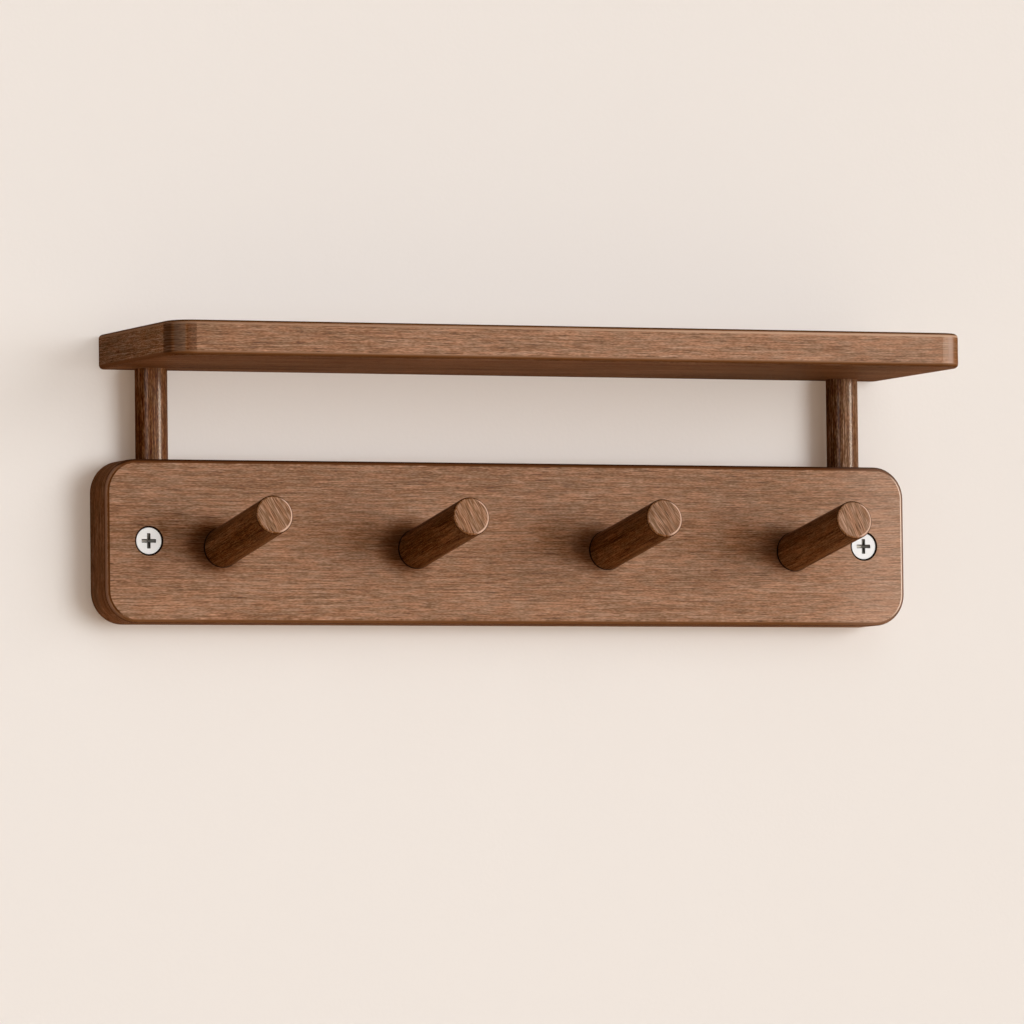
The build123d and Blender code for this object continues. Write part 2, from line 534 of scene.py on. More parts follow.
# %% The walnut recipe
WALNUT_STOPS = (
    (0.00, 0.066, 0.013, 0.002),
    (0.28, 0.142, 0.053, 0.012),
    (0.50, 0.228, 0.102, 0.045),
    (0.72, 0.330, 0.166, 0.092),
    (1.00, 0.460, 0.248, 0.149),
)
WARM_HEART = (1.05, 0.985, 0.92)
COOL_HEART = (0.95, 1.015, 1.08)


def walnut(f, own, tone=0.5, layer_gain=0.30, fine_gain=0.84, relief=0.4, over=None):
    """Colour and surface of oiled walnut in grain coordinates. Tone is how pale the board is, from 0 to
    1. Relief is how far the fibres stand up, over the piece's own normal or another one."""
    def streaks(along, across, through, detail=1.0):
        return f.noise(own, (along, across, through), detail, 0.5)

    clouds = streaks(9.0, 26.0, 40.0, 2.0)
    layers = streaks(16.0, 130.0, 560.0, 2.0)
    long_fibres = streaks(30.0, 2200.0, 2200.0)
    fibres = streaks(150.0, 2700.0, 2700.0)
    flecks = streaks(600.0, 3200.0, 3200.0, 0.0)
    pores = f.between(streaks(130.0, 3000.0, 3000.0, 0.0), 0.60, 0.72)
    glints = f.between(streaks(150.0, 2800.0, 2800.0, 0.0), 0.60, 0.72)
    heart = f.between(streaks(110.0, 650.0, 650.0, 0.0), 0.30, 0.70)

    fine = f.plus(f.swing(long_fibres, 0.90 * fine_gain), f.swing(fibres, 0.80 * fine_gain))
    fine = f.plus(fine, f.swing(flecks, 0.75 * fine_gain))
    fine = f.minus(fine, f.times(pores, 0.32 * fine_gain))
    fine = f.plus(fine, f.times(glints, 0.14 * fine_gain))
    tone = f.plus(f.plus(tone, f.swing(clouds, 0.22)), f.swing(layers, layer_gain))
    colour = f.ramp(f.plus(tone, fine), WALNUT_STOPS)
    colour = f.blend(1.0, colour, f.blend(heart, WARM_HEART, COOL_HEART), "MULTIPLY")
    normal = f.bump(f.plus(long_fibres, flecks), 0.05 * MM, relief, over)
    return colour, normal


print("walnut goes from", WALNUT_STOPS[0][1:], "to", WALNUT_STOPS[-1][1:])

# %% [markdown]
# ## The oil finish
#
# Oil soaks in and leaves a satin body. Rubbing then polishes what faces the room, which mirrors
# a little of it. So the shader is one satin surface with a thin clear coat, and the coat is there
# only where the wood faces the room and no dull mark lies on it: the seams, some lines of painted
# shade and the painted shadows beside the pegs are dull. Amber lines and brown lines of painted
# shade also lie beside the edges.

# %% The oil finish
AMBER = (0.175, 0.062, 0.017)
# Painted shade: the dark brown of the lines where an edge turns from the light, and of the painted shadows
# beside the pegs.
SHADE_BROWN = (0.036, 0.009, 0.002)
# The near black of the oil line round a peg's foot, and of the painted shade down in a countersink.
SEAM_AND_SINK_SHADE = (0.010, 0.004, 0.002)
TO_ROOM = (0.17, -0.98, 0.0)      # out of the wall and a little to the right


def oiled(f, colour, normal, polish=0.5, reach=(0.80, 0.95), haze=0.12, dull=0.0):
    """Closes a material as wood under an oil finish: a satin body, with a thin polished coat on what
    faces the room. Haze blurs what the coat mirrors. Dull is 1 where the surface has no sheen at
    all."""
    polished = f.times(f.between(f.dot(f.normal(), TO_ROOM), *reach), f.minus(1.0, dull))
    return f.close(f.node("ShaderNodeBsdfPrincipled", {
        "Base Color": colour,
        "Roughness": 0.46,
        "IOR": 1.5,
        "Specular IOR Level": f.between(polished, 0.0, 1.0, 0.01, 0.30),
        "Normal": normal,
        "Coat Weight": f.times(polished, polish),
        "Coat Roughness": haze,
        "Coat IOR": 1.5,
    }).outputs[0])


print("lines of finish: amber", AMBER, "painted_shade", SHADE_BROWN, "seam", SEAM_AND_SINK_SHADE)

# %% [markdown]
# ## Painted shade, painted shadows and seams on the rail
#
# The countersinks are painted dark as shade, down in the gap round each screw's head. Oil dries
# in a dark line where a peg's shoulder meets the board, and a painted shadow lies beside each
# peg's foot, on its left. Each is painted from one measure, the distance to the middle of its
# hole, which is worked out from the pieces themselves. The holes lie evenly and the same on both
# halves, so folding x over on itself finds the nearest one, and no list of places is needed.

# %% Where the holes are
PEG_TILT = math.radians(9.5)
peg_low, peg_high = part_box("peg_1")
second_low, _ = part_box("peg_2")
screw_low, screw_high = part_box("left_wall_screw")
peg_x = (peg_low.x + peg_high.x) / 2
peg_spacing = second_low.x - peg_low.x
peg_radius = (peg_high.x - peg_low.x) / 2
peg_foot_z = peg_low.z + peg_radius / math.cos(PEG_TILT)
screw_x = (screw_low.x + screw_high.x) / 2
screw_radius = (screw_high.x - screw_low.x) / 2
print("pegs", round(peg_spacing / MM, 2), "mm apart, feet at z", round(peg_foot_z / MM, 2), "mm")

# %% Seams, painted shade and painted shadows
SINK_FULL, SINK_END = 0.55 * MM, 0.85 * MM    # past a screw's head, where the painted shade is full and ends
FOOT_FULL, FOOT_END = 0.1 * MM, 0.5 * MM      # the same past a peg's side
SHADOW_FULL, SHADOW_END = 8 * MM, 18 * MM       # the same from the middle of a painted shadow
SHADOW_LEFT = 4.0 * MM                         # a painted shadow's middle lies this far left of a peg's foot
SHADOW_ABOVE = 1.0 * MM                        # and this far above it
SINK_DEPTH = 5 * MM                           # how deep into the rail a countersink gets painted shade
FACE_DEPTH = 1 * MM                           # what is shallower counts as the rail's face
DEPTH_FADE = 1 * MM


def within(f, value, full, end):
    """1 where value is less than full, falling softly to 0 at end."""
    return f.between(value, end, full)


def from_point(f, across, up):
    """Distance on the rail's face from a point, given how far across and up from it: root of the sum of
    squares."""
    return f.length(f.joined(across, up))


def shallow(f, y, depth):
    """1 where the surface lies less than depth behind the rail's face."""
    return within(f, y, rail_low.y + depth, rail_low.y + depth + DEPTH_FADE)


def rail_seams_and_sink_shade(f):
    """How dark the rail is round its holes: painted shade in the countersinks, and the oil line at each peg's
    foot.
    """
    x, y, z = f.parted(f.place())
    from_middle = f.math("ABSOLUTE", x)
    from_screw = from_point(f, f.minus(from_middle, -screw_x), z)
    countersink = within(f, from_screw, screw_radius + SINK_FULL, screw_radius + SINK_END)
    countersink = f.times(countersink, shallow(f, y, SINK_DEPTH))

    # On either side, two feet lie half a spacing from the point that is one spacing from the middle.
    from_pair = f.math("ABSOLUTE", f.minus(from_middle, peg_spacing))
    from_peg = from_point(f, f.minus(from_pair, peg_spacing / 2), f.minus(z, peg_foot_z))
    foot = within(f, from_peg, peg_radius + FOOT_FULL, peg_radius + FOOT_END)
    foot = f.times(foot, shallow(f, y, FACE_DEPTH))
    return f.most(countersink, foot)


def painted_peg_shadows(f):
    """A painted shadow: how far the rail is darkened beside each peg's foot, a little to its left and
    above, more on the rail's left half than on its right."""
    x, y, z = f.parted(f.place())
    folded = f.math("PINGPONG", f.plus(x, SHADOW_LEFT), peg_spacing)
    from_foot = from_point(f, f.minus(folded, peg_spacing / 2), f.minus(z, peg_foot_z + SHADOW_ABOVE))
    painted_shadow = f.times(within(f, from_foot, SHADOW_FULL, SHADOW_END), shallow(f, y, FACE_DEPTH))
    return f.times(painted_shadow, f.between(x, 0.0, 0.06, 0.60, 0.34))


print("countersinks are dark out to", round((screw_radius + SINK_END) / MM, 2), "mm from their middles")

# %% [markdown]
# ## Walnut on the rail
#
# The rail is one straight-grained board, a little paler along the bottom and towards the right.
# Its front arrises are rounded over. Amber lies where they face left and down, with a dark line
# where the left arris meets the face, and the other lines on them are painted light: brown lines
# of painted shade where an arris turns from the light, a painted sheen on the left arris, a
# painted highlight on the right one and painted sheen over the right end. A line could be painted
# as a picture laid over the board, but the shape already says where the edge is: how squarely the
# surface faces the room falls from 1 on the face to 0 on the side, so each line is a zone of that
# value. Which lines an arris has depends on the way that it looks, so the zones are told apart by
# how far the surface leans right and up.

# %% The rail's edges
# Colours of the rail's edges: a painted sheen on the left arris, a dark line where that arris meets the face,
# painted shade on the top arris, a painted highlight along the right arris and painted sheen on the right
# end, then tints of painted shade for the bottom, the right and the left side, and a warm tint for the
# painted shadows beside the pegs.
LEFT_SHEEN = (0.240, 0.125, 0.080)
LEFT_INNER_LINE = (0.080, 0.023, 0.004)
TOP_SHADE = (0.100, 0.033, 0.010)
RIGHT_HIGHLIGHT = (0.62, 0.44, 0.34)
END_SHEEN = (0.50, 0.36, 0.28)
BOTTOM_SHADE = (0.80, 0.78, 0.72)
RIGHT_SHADE = (0.46, 0.37, 0.29)
SIDE_SHADE = (0.86, 0.87, 0.87)
SHADOW_WARMTH = (1.00, 0.84, 0.60)


def leaning(f):
    """How squarely the rail faces the room, and how far it leans right and up, each from -1 to 1. The
    lean is the surface's normal without its y, brought back to length 1."""
    flat = f.vector("MULTIPLY", f.normal(), (1.0, 0.0, 1.0))
    rightwards, _, upwards = f.parted(f.vector("NORMALIZE", flat))
    return f.facing((0, 1, 0)), rightwards, upwards


def rail_edges(f, along):
    """The coats on the rail's arrises and on its right end, given how far along it the point is, and
    which part of them is dull. Amber lies where an arris faces left and down, with a dark line where
    the left arris meets the face; the rest is painted light: brown lines of painted shade where an
    arris turns from the light, a painted sheen on the left arris, a painted highlight on the right
    one, painted sheen on the right end, and tints of painted shade on the bottom, right and left
    sides."""
    square_on, rightwards, upwards = leaning(f)
    on_top = f.times(f.between(upwards, 0.25, 0.60), f.zone(rightwards, -0.80, -0.40, 0.66, 0.88))
    on_bottom = f.between(upwards, -0.45, -0.75)
    on_left = f.between(rightwards, -0.35, -0.75)
    on_right = f.between(rightwards, 0.45, 0.80)

    # The dark line of painted shade reaches nearer the face on the top arris, and keeps nearer the side on
    # the left one.
    turned = f.plus(f.minus(square_on, f.times(on_top, 0.45)), f.times(on_left, 0.12))
    dark = f.times(f.between(turned, 0.42, 0.32), f.between(square_on, 0.02, 0.10))
    dark = f.times(dark, f.between(on_right, 0.0, 1.0, 0.80, 0.30))

    amber = f.times(f.zone(square_on, 0.66, 0.78, 0.965, 0.992), f.between(on_left, 0.0, 1.0, 0.65, 0.0))
    # Painted sheen: a greyish band on the left arris, where it would mirror light from the left.
    left_sheen = f.times(f.zone(square_on, 0.26, 0.40, 0.76, 0.86), on_left)
    # A dark line where the left arris meets the face.
    left_inner_line = f.times(f.zone(square_on, 0.88, 0.93, 0.9990, 0.99995), on_left)
    left_side = f.times(f.between(rightwards, -0.70, -0.95), f.between(square_on, 0.35, 0.10))
    bottom = f.times(f.zone(square_on, 0.25, 0.40, 0.95, 0.985), on_bottom)
    # Painted shade: a dark line along the top arris, which lies in the shelf's shade.
    top_shade = f.times(on_top, f.zone(square_on, 0.45, 0.65, 0.985, 0.9985))
    # Painted shade on the outer part of the right arris, which turns from the light, and a painted highlight
    # along its inner part.
    right_shade = f.times(f.zone(square_on, 0.20, 0.40, 0.90, 0.955), on_right)
    right_highlight = f.times(f.zone(square_on, 0.93, 0.965, 0.9975, 0.9999), on_right)
    layers = (
        (amber, AMBER),
        (f.times(left_sheen, 0.85), LEFT_SHEEN),
        (f.times(left_inner_line, 0.92), LEFT_INNER_LINE),
        (bottom, BOTTOM_SHADE, "MULTIPLY"),
        (f.times(top_shade, 0.85), TOP_SHADE),
        (dark, SHADE_BROWN),
        (right_shade, RIGHT_SHADE, "MULTIPLY"),
        (f.times(right_highlight, 0.62), RIGHT_HIGHLIGHT),
        # Painted sheen whitens the right end of the rail.
        (f.between(along, 0.155, 0.188, 0.0, 0.14), END_SHEEN),
        (left_side, SIDE_SHADE, "MULTIPLY"),
    )
    return layers, f.most(top_shade, left_inner_line)


print("the left arris is rubbed to", LEFT_SHEEN, "and the right one highlighted to", RIGHT_HIGHLIGHT)


# %% Walnut on the rail
def rail_wood():
    """Straight-grained board with amber and painted light on its arrises, painted shadows beside the
    pegs' feet, painted shade in its countersinks and a dark oil line round each peg's foot.
    """
    f = Finish("walnut_rail")
    grain = Grain(f, (1, 0, 0), (0, 0, 1), (0, 1, 0)).board((0, 1, 0), 0.0)
    tone = f.plus(f.between(grain.u, 0.12, 0.19, 0.48, 0.60), f.between(grain.v, 0.010, -0.025, 0.0, 0.035))
    colour, normal = walnut(f, grain.place((0.0, 0.0, 0.0)), tone)
    edges, dull_edges = rail_edges(f, grain.u)
    peg_shadows = painted_peg_shadows(f)
    seams_and_sink_shade = rail_seams_and_sink_shade(f)
    # Painted shadows beside the pegs and painted shade in the countersinks go on last, with the dark oil line
    # round each peg's foot.
    colour = f.coats(colour, *edges, (peg_shadows, SHADE_BROWN), (peg_shadows, SHADOW_WARMTH, "MULTIPLY"), (seams_and_sink_shade, SEAM_AND_SINK_SHADE))
    dull_shadows = f.math("MULTIPLY", peg_shadows, 1.6, clamp=True)
    return oiled(f, colour, normal, dull=f.most(seams_and_sink_shade, dull_edges, dull_shadows))


wear(nodes["rail"], rail_wood())

# %% [markdown]
# ## Walnut on the shelf
#
# The shelf is the same board laid flat, so its arrises face up and down instead of out, and its
# front corners turn in a quarter circle. The upper arris has a brown line of painted shade with a
# pale painted highlight just under it. The lower one is amber with a faint painted highlight, and
# the underside has a band of painted shade along its front. The corners turn about an upright
# line, so their own lines stand upright: painted shade and painted sheen on the left corner, a
# painted highlight and a brown line of painted shade on the right one. The ends are painted darker
# near the wall, as shade. As on the rail, every line is a zone of the way that the surface faces.

# %% The shelf's corners
SHELF_CORNER = 12 * MM
# The corners' colours: an amber tint for the left corner, a painted sheen beside it, and a pale painted
# highlight and a brown line of painted shade for the right corner.
CORNER_TINT = (0.60, 0.53, 0.46)
CORNER_SHEEN = (0.125, 0.085, 0.062)
CORNER_HIGHLIGHT = (0.52, 0.36, 0.29)
CORNER_SHADE = (0.150, 0.054, 0.014)


def shelf_corners(f, forwards, rightwards, level):
    """The coats on the upright turns of the shelf's front corners: an amber band, a painted sheen and a
    line of painted shade at the back of the left one, and a painted highlight with a brown line of
    painted shade on the right one."""
    on_left = f.between(rightwards, -0.02, -0.12)
    oil = f.times(f.zone(forwards, 0.905, 0.94, 0.998, 0.9999), level)
    corner_sheen = f.times(f.zone(forwards, 0.55, 0.68, 0.88, 0.93), level)
    painted_shade = f.times(f.zone(forwards, 0.02, 0.16, 0.45, 0.62), level)
    pale = f.times(f.zone(rightwards, 0.16, 0.34, 0.42, 0.58), level)
    brown = f.times(f.between(rightwards, 0.42, 0.72), level)
    layers = (
        (f.times(oil, on_left), CORNER_TINT, "MULTIPLY"),
        (f.times(corner_sheen, f.times(on_left, 0.55)), CORNER_SHEEN),
        (f.times(pale, 0.50), CORNER_HIGHLIGHT),
        (f.times(brown, 0.50), CORNER_SHADE),
    )
    return layers, f.times(painted_shade, on_left)


print("the shelf's front corners turn within", round(SHELF_CORNER / MM, 1), "mm")

# %% The shelf's edges
END_TINT = (1.07, 1.31, 1.70)
DIM_TINT = (0.76, 0.76, 0.71)
LOWER_AMBER = (0.145, 0.052, 0.013)
FRONT_HIGHLIGHT = (0.52, 0.32, 0.21)
END_BACK, END_FRONT = -0.020, -0.085  # m, between which the shelf's ends go from painted shade near the wall to paler towards the room


def shelf_edges(f, along):
    """The coats on the shelf's ends, underside and arrises, given how far along it the point is, and
    the zone above the front edge, which is dull. The ends are painted darker near the wall as shade,
    the pale lines on the arrises are painted highlights, and the brown lines above the front edge,
    at the back of the left corner and along the underside's front are painted shade."""
    rightwards, _, upwards = f.parted(f.normal())
    forwards = f.facing((0, 1, 0))
    on_end = f.between(rightwards, -0.80, -0.97)
    # Painted shade: the shelf's ends are darker near the wall and paler towards the room.
    lit_towards_room = f.between(f.parted(f.place())[1], END_FRONT, END_BACK, 1.16, 0.84)
    dim = f.times(f.between(upwards, -0.95, -0.995), f.zone(along, 0.04, 0.12, 0.155, 0.185))

    # Painted light along the shelf's edges: a brown line of painted shade on the upper arris, a pale painted
    # highlight under it and a faint one on the lower arris, amber on the lower arris, and painted shade along
    # the underside's front.
    above = f.zone(upwards, 0.50, 0.72, 0.97, 0.99)
    painted_light = f.times(f.zone(upwards, 0.02, 0.12, 0.42, 0.55), f.between(along, -0.12, 0.16, 0.25, 0.85))
    lower = f.times(f.zone(upwards, -0.30, -0.20, -0.06, -0.01), f.between(forwards, 0.30, 0.70, 0.0, 0.12))
    below = f.zone(upwards, -0.85, -0.65, -0.14, -0.03)
    under = f.times(f.zone(upwards, -0.999, -0.98, -0.70, -0.45), f.between(forwards, 0.05, 0.40, 0.25, 0.75))

    level = f.between(f.math("ABSOLUTE", upwards), 0.5, 0.1)
    corners, left_corner_shade = shelf_corners(f, forwards, rightwards, level)
    layers = (
        (on_end, END_TINT, "MULTIPLY"),
        (on_end, f.scaled((1.0, 1.0, 1.0), lit_towards_room), "MULTIPLY"),
        (dim, DIM_TINT, "MULTIPLY"),
        *corners,
        (f.times(below, 0.82), LOWER_AMBER),
        (f.most(painted_light, lower), FRONT_HIGHLIGHT),
        (f.times(f.most(above, left_corner_shade, under), 0.65), SHADE_BROWN),
    )
    return layers, above


print("the shelf's front is rubbed to", FRONT_HIGHLIGHT)


# %% Walnut on the shelf
def shelf_wood():
    """The same board laid flat, with soft bands of tone on its two broad faces."""
    f = Finish("walnut_shelf")
    grain = Grain(f, (1, 0, 0), (0, 1, 0), (0, 0, 1)).board((0, 0, 1), shelf_low.y + SHELF_CORNER)
    own = grain.place((0.3, 0.1, 0.2))
    bands = f.plus(f.swing(f.noise(own, (7.0, 55.0, 30.0), 2.0), 0.70), 0.05)
    bands = f.times(bands, f.between(f.facing((0, 0, 1)), 0.8, 1.0))
    tone = f.plus(f.math("MULTIPLY_ADD", grain.u, 0.18, 0.485), bands)
    tone = f.plus(tone, f.times(f.zone(grain.u, -0.12, -0.03, 0.06, 0.14), 0.045))
    colour, normal = walnut(f, own, tone)
    edges, above = shelf_edges(f, grain.u)
    return oiled(f, f.coats(colour, *edges), normal, polish=0.3, haze=0.30, dull=above)


wear(nodes["shelf"], shelf_wood())

# %% [markdown]
# ## Walnut on the posts
#
# A post is turned from a square stick whose grain runs up and down, so the lathe cuts through
# the growth layers and they show as strong upright bands. The recipe is the same with more gain
# on the layers, and each post starts elsewhere in the plank, so the two differ.


# %% Walnut on the posts
def post_wood(name, shift, cast):
    """A turned post, with its growth layers cut lengthways into strong upright bands, tinted by its own
    cast."""
    f = Finish(name)
    grain = Grain(f, (0, 0, 1), (0.6, 0.8, 0), (0.8, -0.6, 0)).rod()
    colour, normal = walnut(f, grain.place(shift), 0.28, layer_gain=0.8, fine_gain=1.2, relief=0.12)
    colour = f.blend(1.0, colour, cast, "MULTIPLY")
    return oiled(f, colour, normal, polish=0.45, reach=(0.5, 0.8))


wear(nodes["left_post"], post_wood("walnut_left_post", (0.0, 0.0, 0.5), (0.94, 0.87, 0.75)))
wear(nodes["right_post"], post_wood("walnut_right_post", (0.7, 0.0, 0.5), (0.91, 0.96, 1.02)))

# %% [markdown]
# ## Walnut on the pegs
#
# A peg is turned too, and its end is what the eye meets: end grain, crossed by the growth layers
# as slanting lines, inside a softly turned edge. The solid has a plain chamfer there. More rings
# would round it, but the light only needs the way that the surface faces, so the finish bends
# the normal from straight out of the end to straight out of the side across the chamfer. The
# edge is amber low on the left, with brown lines of painted shade round its outer part and a pale
# painted highlight just inside it on the right. The peg's side is painted darker as shade.

# %% The turned end of a peg
PEG_END_CHAMFER = 1.0 * MM
PEG_AXIS = Vector((0.0, -math.cos(PEG_TILT), math.sin(PEG_TILT)))


def turned_end(f, number):
    """The normal of a peg whose end is turned to a quarter round, the way straight out from its axis,
    and the distance from its axis. The normal is axis times cosine plus outwards times sine of a tilt
    that grows from 0 to a right angle across the chamfer."""
    foot = Vector((peg_x + (number - 1) * peg_spacing, rail_low.y, peg_foot_z))
    from_foot = f.vector("SUBTRACT", f.place(), foot)
    outwards = f.vector("SUBTRACT", from_foot, f.scaled(PEG_AXIS, f.dot(from_foot, PEG_AXIS)))
    from_axis = f.length(outwards)
    tilt = f.between(from_axis, peg_radius - PEG_END_CHAMFER, peg_radius - 0.04 * MM, 0.0, math.pi / 2)
    outwards = f.vector("NORMALIZE", outwards)
    level = f.scaled(PEG_AXIS, f.math("COSINE", tilt))
    return f.vector("ADD", level, f.scaled(outwards, f.math("SINE", tilt))), outwards, from_axis


def peg_grain(f, slant):
    """Grain along a peg, whose growth lines cross its end at slant degrees from level."""
    right = Vector((1.0, 0.0, 0.0))
    up = right.cross(-PEG_AXIS)
    lean = math.radians(slant)
    across = right * math.cos(lean) + up * math.sin(lean)
    through = up * math.cos(lean) - right * math.sin(lean)
    return Grain(f, PEG_AXIS, across, through).rod()


print("pegs point towards", [round(v, 3) for v in PEG_AXIS])

# %% Walnut on the pegs
END_GRAIN_TINT = Vector((1.04, 1.08, 1.15))
PEG_SIDE_SHADE = (0.69, 0.61, 0.44)
PEG_HIGHLIGHT = (0.66, 0.43, 0.32)


def peg_wood(name, number, slant, tone, pale):
    """A turned peg. Slant is the angle of the growth lines on its end, in degrees from level, and pale
    is a factor on the colour of that end."""
    f = Finish(name)
    grain = peg_grain(f, slant)
    rounded, outwards, from_axis = turned_end(f, number)
    layer_gain = f.between(grain.end, 0.5, 0.9, 0.9, 0.42)
    place = grain.place((0.4 * number, 0.2, 0.1 * number))
    colour, normal = walnut(f, place, tone, layer_gain, fine_gain=0.95, relief=0.25, over=rounded)

    square_on = f.dot(rounded, PEG_AXIS)
    upper_right = f.dot(rounded, (0.86, 0.0, 0.50))
    amber = f.times(f.zone(square_on, 0.50, 0.70, 0.97, 0.995), f.between(upper_right, 0.10, -0.20))
    edge = f.zone(square_on, 0.04, 0.10, 0.30, 0.50)
    wide_edge = f.times(f.zone(square_on, 0.04, 0.10, 0.42, 0.58), f.between(upper_right, 0.0, 0.2))
    on_right = f.between(f.dot(outwards, (0.99, 0.0, -0.10)), 0.20, 0.60)
    from_side = f.minus(peg_radius, from_axis)
    highlight_ring = f.times(f.zone(from_side, 0.32 * MM, 0.55 * MM, 1.10 * MM, 1.35 * MM), on_right)
    highlight_ring = f.times(highlight_ring, f.between(square_on, 0.20, 0.40))
    foot = f.between(f.parted(f.place())[1], rail_low.y - 1.2 * MM, rail_low.y - 0.4 * MM)
    # Painted light on the peg: its side is painted darker as shade, its edge gets brown lines of painted
    # shade, and the pale ring on the right of its end is a painted highlight.
    colour = f.coats(
        colour,
        (f.between(grain.end, 0.5, 0.9), pale * END_GRAIN_TINT, "MULTIPLY"),
        (f.times(amber, 0.60), AMBER),
        (f.between(square_on, 0.35, 0.05), PEG_SIDE_SHADE, "MULTIPLY"),
        (f.times(f.most(edge, wide_edge), 0.85), SHADE_BROWN),
        (f.times(highlight_ring, 0.90), PEG_HIGHLIGHT),
        (foot, SEAM_AND_SINK_SHADE),
    )
    return oiled(f, colour, normal, polish=0.6, dull=foot)


# Each row is a peg's number, slant, tone and how pale its end is.
for number, slant, tone, pale in (
    (1, -62.0, 0.47, 0.99),
    (2, -66.0, 0.43, 1.04),
    (3, -58.0, 0.46, 0.85),
    (4, -70.0, 0.57, 0.94),
):
    wear(nodes[f"peg_{number}"], peg_wood(f"walnut_peg_{number}", number, slant, tone, pale))

# %% [markdown]
# ## The wall screws
#
# Each screw is bright zinc-plated steel: a flat countersunk head with an upright cross recess,
# a plain shank through the rail and a thread that bites in the wall. Most of it is one turned
# shape, so it is drawn as rings from the middle of the head out to the rim and then down to the
# point. The recess is pressed into the head's rings: each point goes down by how far it lies
# inside the cross, with steep walls and a floor that rises to the ends of the arms. The thread
# is a low ridge swept along a helix.

# %% Sizes of a screw
HEAD_TOP = screw_low.y
SCREW_LENGTH = screw_high.y - screw_low.y
HEAD_RADIUS = screw_radius - 0.05 * MM
RIM_ROUND = 0.05 * MM
SHANK_RADIUS = 2.2 * MM
CORE_RADIUS = 2.0 * MM            # of the threaded part, between the ridges
POINT_LENGTH = 7.0 * MM
THREAD_START = 22.5 * MM
AROUND = 192                      # points in each ring
print("screw", round(SCREW_LENGTH / MM, 1), "mm long, head", round(2 * HEAD_RADIUS / MM, 2), "mm")

# %% The cross recess
CROSS_REACH = 3.5 * MM            # from the middle to the end of an arm
CROSS_HALF_WIDTH = 0.85 * MM
CROSS_ROUND = 0.30 * MM           # of the arms' corners
CROSS_DEPTH = 2.6 * MM
CROSS_STEEPNESS = 6.0             # how far down the recess's walls go for each step in
CROSS_RISE = 0.62                 # share of the depth that the floor has lost at an arm's end


def bar_distance(x, z, half_length, half_width):
    """Distance outside a bar with rounded corners, negative inside it: that from a smaller
    square-cornered bar, less the corners' radius."""
    over_x = np.abs(x) - (half_length - CROSS_ROUND)
    over_z = np.abs(z) - (half_width - CROSS_ROUND)
    outside = np.hypot(np.maximum(over_x, 0.0), np.maximum(over_z, 0.0))
    inside = np.minimum(np.maximum(over_x, over_z), 0.0)
    return outside + inside - CROSS_ROUND


def recess(x, z):
    """Depth of the cross: steepness times the distance in from its outline, down to a floor that is
    deepest in the middle and rises evenly outwards."""
    flat = bar_distance(x, z, CROSS_REACH, CROSS_HALF_WIDTH)
    upright = bar_distance(z, x, CROSS_REACH, CROSS_HALF_WIDTH)
    inward = np.maximum(-np.minimum(flat, upright), 0.0)
    floor_depth = CROSS_DEPTH * (1.0 - CROSS_RISE * np.hypot(x, z) / CROSS_REACH)
    return np.minimum(CROSS_STEEPNESS * inward, floor_depth)


print("recess", round(float(recess(0.0, 0.0)) / MM, 2), "mm deep in the middle")


# %% The turned shape
def stretch(radius, depth):
    """Rings from radii and depths, either of which may be one number for all."""
    return np.column_stack(np.broadcast_arrays(radius, depth))


def turned_rings():
    """Radius and depth of each ring: the flat face, the rounded rim, the cone, the shank, the core and
    the point. The cone loses as much radius as it gains depth, and the point's radius is the core's
    times the share left to the 0.8th power."""
    bend = np.linspace(0.2, 1.0, 5) * math.radians(135)
    cone_end = HEAD_RADIUS - SHANK_RADIUS
    cone = np.linspace(0.25 * MM, cone_end, 10)
    core_end = SCREW_LENGTH - POINT_LENGTH
    gone = np.linspace(0.08, 0.985, 12)
    return np.concatenate((
        stretch(np.linspace(0.06 * MM, HEAD_RADIUS - 0.15 * MM, 72), 0.0),
        stretch(HEAD_RADIUS - 0.12 * MM + RIM_ROUND * np.sin(bend), RIM_ROUND * (1 - np.cos(bend))),
        stretch(HEAD_RADIUS - cone, cone),
        stretch(SHANK_RADIUS, np.linspace(cone_end + 0.1 * MM, THREAD_START - 0.6 * MM, 12)),
        stretch(CORE_RADIUS, np.linspace(THREAD_START, core_end, 20)),
        stretch(CORE_RADIUS * (1 - gone) ** 0.8, core_end + POINT_LENGTH * gone),
    ))


def ring_faces(count, around):
    """Quads between each ring and the next, wound to face outwards."""
    ring, step = np.meshgrid(np.arange(count - 1), np.arange(around), indexing="ij")
    here, beside = ring * around + step, ring * around + (step + 1) % around
    return np.stack((here, here + around, beside + around, beside), -1).reshape(-1, 4)


def turned_screw():
    """Points and faces of the screw without its thread, with its head's middle and its tip closed by
    fans. A point is its ring's radius times cosine and sine of its angle, at its ring's depth, pressed
    in by the recess."""
    radius, depth = turned_rings().T
    angle = np.linspace(0.0, 2 * math.pi, AROUND, endpoint=False)
    x, z = np.outer(radius, np.cos(angle)), np.outer(radius, np.sin(angle))
    y = depth[:, None] + recess(x, z) * (depth[:, None] == 0.0)
    points = np.stack((x, y, z), -1).reshape(-1, 3)
    middle, tip = len(points), len(points) + 1
    points = np.vstack((points, [(0.0, CROSS_DEPTH, 0.0), (0.0, SCREW_LENGTH, 0.0)]))
    step = np.arange(AROUND)
    beside = (step + 1) % AROUND
    last = (len(radius) - 1) * AROUND
    head_fan = np.column_stack(np.broadcast_arrays(middle, step, beside))
    tip_fan = np.column_stack(np.broadcast_arrays(tip, last + beside, last + step))
    return points, ring_faces(len(radius), AROUND).tolist() + head_fan.tolist() + tip_fan.tolist()


print("screw profile of", len(turned_rings()), "rings")

